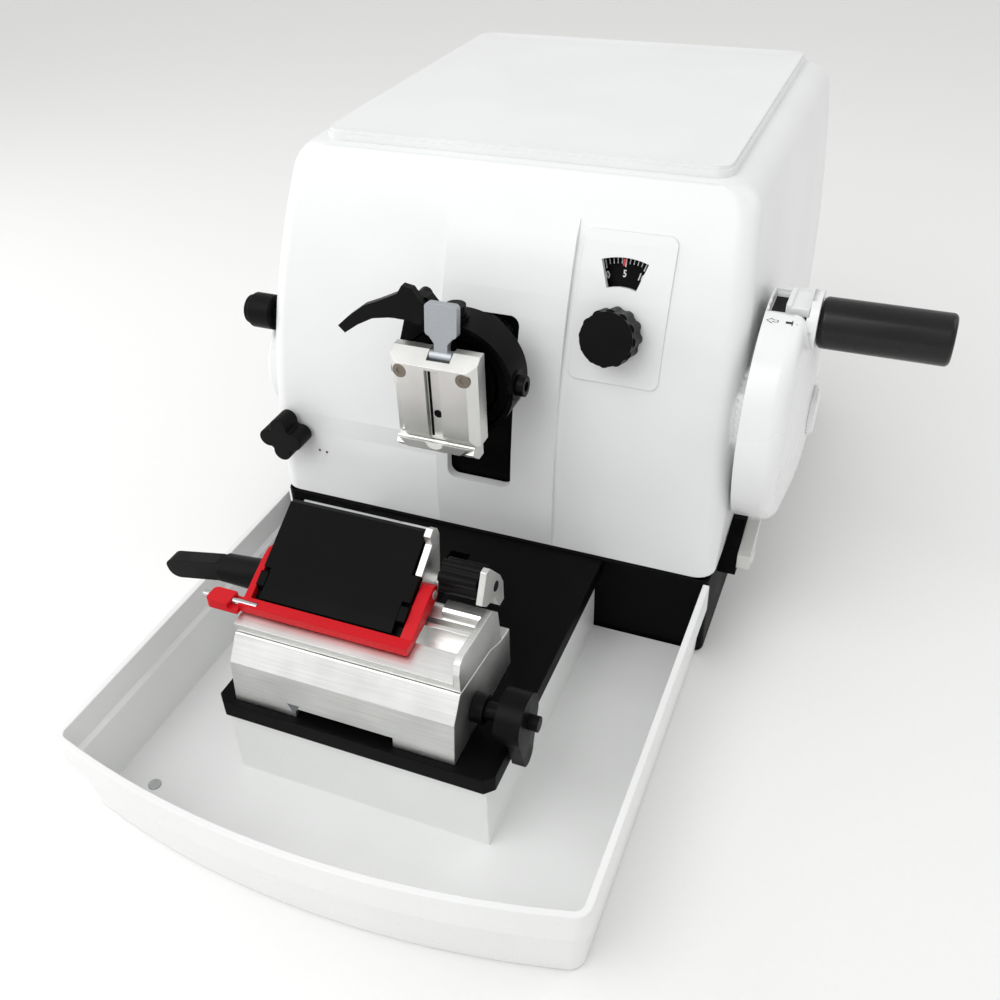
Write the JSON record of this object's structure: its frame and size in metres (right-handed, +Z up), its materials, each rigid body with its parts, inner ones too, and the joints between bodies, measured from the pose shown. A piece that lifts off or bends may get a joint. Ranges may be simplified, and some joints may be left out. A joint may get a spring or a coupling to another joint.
{
  "type": "rotary microtome",
  "caption": "Manual rotary microtome: white housing with side handwheel, vertical specimen head, blade holder on a stage and a wrap-round waste tray.",
  "frame": {"origin": "on the bench below the middle of the machine's front plane", "axes": "+X to the handwheel side, +Y to the back of the machine, +Z up"},
  "size_m": [0.4299, 0.606, 0.291],
  "materials": {
    "black_coat": "fine-textured black powder coat",
    "white_shell": "smooth semi-gloss white",
    "white_wheel": "smooth white stove enamel",
    "frame_iron": "ground grey iron",
    "steel": "ground and turned",
    "bronze": "turned bearing bronze",
    "satin_alloy": "bead blasted and clear anodised",
    "lever_grey": "satin",
    "black_alloy": "matt black anodised",
    "black_plastic": "fine matt black",
    "pad_rubber": "matt",
    "guard_red": "semi-gloss red",
    "blade_steel": "polished edge"
  },
  "bodies": {
    "base": {"base_casting": "black_coat", "base_pads": "pad_rubber", "stage_plate": "black_coat", "main_frame": "frame_iron", "guide_rails": "steel", "bearing_block": "frame_iron", "shaft_bushes": "bronze", "coarse_bearing": "frame_iron", "housing": "white_shell", "dial_panel": "white_shell", "top_cover": "white_shell", "rear_cover": "white_shell", "rear_screws": "steel", "brake_bracket": "black_coat"},
    "handwheel": {"handwheel": "white_wheel", "hub_cap": "white_wheel", "main_shaft": "steel", "crank_disc": "frame_iron", "handle_spindle": "steel", "wheel_weight": "frame_iron"},
    "handle": {"handle_grip": "black_plastic"},
    "wheel_lock": {"lock_slider": "white_shell"},
    "vertical": {"vertical_slide": "frame_iron", "yoke_plate": "steel", "dust_shutter": "black_plastic"},
    "feed": {"feed_ram": "steel", "orient_cup": "black_alloy", "orient_screws": "black_alloy"},
    "feed_screw": {"feed_screw": "steel"},
    "tilt_ring": {"tilt_ring": "steel"},
    "tilt_head": {"tilt_core": "steel", "clamp_body": "satin_alloy", "clamp_screws": "steel"},
    "clamp_jaw": {"clamp_jaw": "satin_alloy"},
    "clamp_lever": {"clamp_lever": "lever_grey"},
    "orient_lever": {"orient_lever": "black_plastic"},
    "coarse": {"coarse_wheel": "white_wheel", "coarse_shaft": "steel"},
    "side_knob": {"side_knob": "black_plastic"},
    "thickness": {"thickness_knob": "black_plastic", "thickness_dial": "black_plastic"},
    "trim_knob": {"trim_knob": "black_plastic"},
    "brake_lever": {"brake_lever": "steel"},
    "tray": {"tray": "white_shell", "tray_plug": "satin_alloy"},
    "holder": {"holder_base": "satin_alloy", "holder_nut": "steel"},
    "holder_lever": {"holder_lever": "black_plastic"},
    "segment": {"clearance_segment": "satin_alloy"},
    "blade_lever": {"blade_lever": "black_plastic"},
    "carriage": {"blade_carriage": "satin_alloy", "end_brackets": "satin_alloy", "blade": "blade_steel"},
    "pressure_plate": {"pressure_plate": "black_alloy"},
    "guard": {"guard": "guard_red", "guard_rod": "steel"},
    "shift_roller": {"shift_roller": "black_plastic"}
  },
  "joints": [
    {"name": "handwheel_turn", "type": "hinge", "parent": "base", "child": "handwheel", "pos_m": [0.17, 0.0615, 0.1564], "axis": [1, 0, 0], "continuous": true},
    {"name": "handle_spin", "type": "hinge", "parent": "handwheel", "child": "handle", "pos_m": [0.22, 0.0615, 0.2134], "axis": [1, 0, 0], "continuous": true},
    {"name": "wheel_lock_slide", "type": "slide", "parent": "handwheel", "child": "wheel_lock", "axis": [-1, 0, 0], "range_m": [0, 0.008]},
    {"name": "vertical_stroke", "type": "slide", "parent": "base", "child": "vertical", "axis": [0, 0, -1], "range_m": [0, 0.06]},
    {"name": "coarse_turn", "type": "hinge", "parent": "base", "child": "coarse", "pos_m": [-0.156, 0.06, 0.136], "axis": [1, 0, 0], "range_deg": [0, 4500]},
    {"name": "feed_slide", "type": "slide", "parent": "vertical", "child": "feed", "axis": [0, -1, 0], "range_m": [0, 0.025]},
    {"name": "feed_screw_turn", "type": "hinge", "parent": "vertical", "child": "feed_screw", "pos_m": [-0.0015, 0.15, 0.188], "axis": [0, 1, 0], "range_deg": [0, 4500]},
    {"name": "orient_swing", "type": "hinge", "parent": "feed", "child": "tilt_ring", "pos_m": [-0.0015, -0.018, 0.188], "axis": [0, 0, 1], "range_deg": [-8, 8]},
    {"name": "orient_tip", "type": "hinge", "parent": "tilt_ring", "child": "tilt_head", "pos_m": [-0.0015, -0.018, 0.188], "axis": [1, 0, 0], "range_deg": [-8, 8]},
    {"name": "clamp_release", "type": "hinge", "parent": "tilt_head", "child": "clamp_lever", "pos_m": [-0.001, -0.0395, 0.211], "axis": [1, 0, 0], "range_deg": [0, 30]},
    {"name": "clamp_open", "type": "slide", "parent": "tilt_head", "child": "clamp_jaw", "axis": [0, 0, -1], "range_m": [0, 0.004]},
    {"name": "orient_lock", "type": "hinge", "parent": "feed", "child": "orient_lever", "pos_m": [-0.024, -0.02, 0.231], "axis": [0, 1, 0], "range_deg": [0, 40]},
    {"name": "side_knob_turn", "type": "hinge", "parent": "base", "child": "side_knob", "pos_m": [-0.16, 0.03, 0.181], "axis": [1, 0, 0], "range_deg": [0, 90]},
    {"name": "thickness_turn", "type": "hinge", "parent": "base", "child": "thickness", "pos_m": [0.0775, 0.02585, 0.205], "axis": [0, -0.9435, 0.3315], "range_deg": [-16.8, 184.8]},
    {"name": "trim_turn", "type": "hinge", "parent": "base", "child": "trim_knob", "pos_m": [-0.138, 0.00434, 0.111], "axis": [0, 1, 0], "range_deg": [0, 60]},
    {"name": "brake_turn", "type": "hinge", "parent": "base", "child": "brake_lever", "pos_m": [0.166, 0.0385, 0.057], "axis": [1, 0, 0], "range_deg": [0, 30]},
    {"name": "tray_pull", "type": "slide", "parent": "base", "child": "tray", "axis": [0, -1, 0], "range_m": [0, 0.12]},
    {"name": "holder_slide", "type": "slide", "parent": "base", "child": "holder", "axis": [0, 1, 0], "range_m": [-0.008, 0.012]},
    {"name": "holder_clamp", "type": "hinge", "parent": "holder", "child": "holder_lever", "pos_m": [0.085, -0.156, 0.0768], "axis": [-1, 0, 0], "range_deg": [0, 80]},
    {"name": "clearance_tilt", "type": "hinge", "parent": "holder", "child": "segment", "pos_m": [-0.0054, -0.102, 0.143], "axis": [-1, 0, 0], "range_deg": [0, 8]},
    {"name": "blade_lever_turn", "type": "hinge", "parent": "segment", "child": "blade_lever", "pos_m": [-0.092, -0.129, 0.1035], "axis": [1, 0, 0], "range_deg": [0, 60]},
    {"name": "carriage_shift", "type": "slide", "parent": "segment", "child": "carriage", "axis": [1, 0, 0], "range_m": [0, 0.006]},
    {"name": "plate_open", "type": "hinge", "parent": "carriage", "child": "pressure_plate", "pos_m": [-0.0234, -0.14546, 0.1182], "axis": [1, 0, 0], "range_deg": [0, 6]},
    {"name": "guard_turn", "type": "hinge", "parent": "carriage", "child": "guard", "pos_m": [-0.0234, -0.128, 0.121], "axis": [-1, 0, 0], "range_deg": [0, 120]},
    {"name": "roller_turn", "type": "hinge", "parent": "carriage", "child": "shift_roller", "pos_m": [0.04, -0.117, 0.127], "axis": [1, 0, 0], "continuous": true}
  ],
  "couplings": [
    {"joint": "feed_slide", "follows": "coarse_turn", "m_per_rad": 0.00031831},
    {"joint": "feed_screw_turn", "follows": "coarse_turn", "ratio": 1},
    {"joint": "clamp_open", "follows": "clamp_release", "m_per_rad": 0.0076394},
    {"joint": "plate_open", "follows": "blade_lever_turn", "ratio": 0.1}
  ]
}
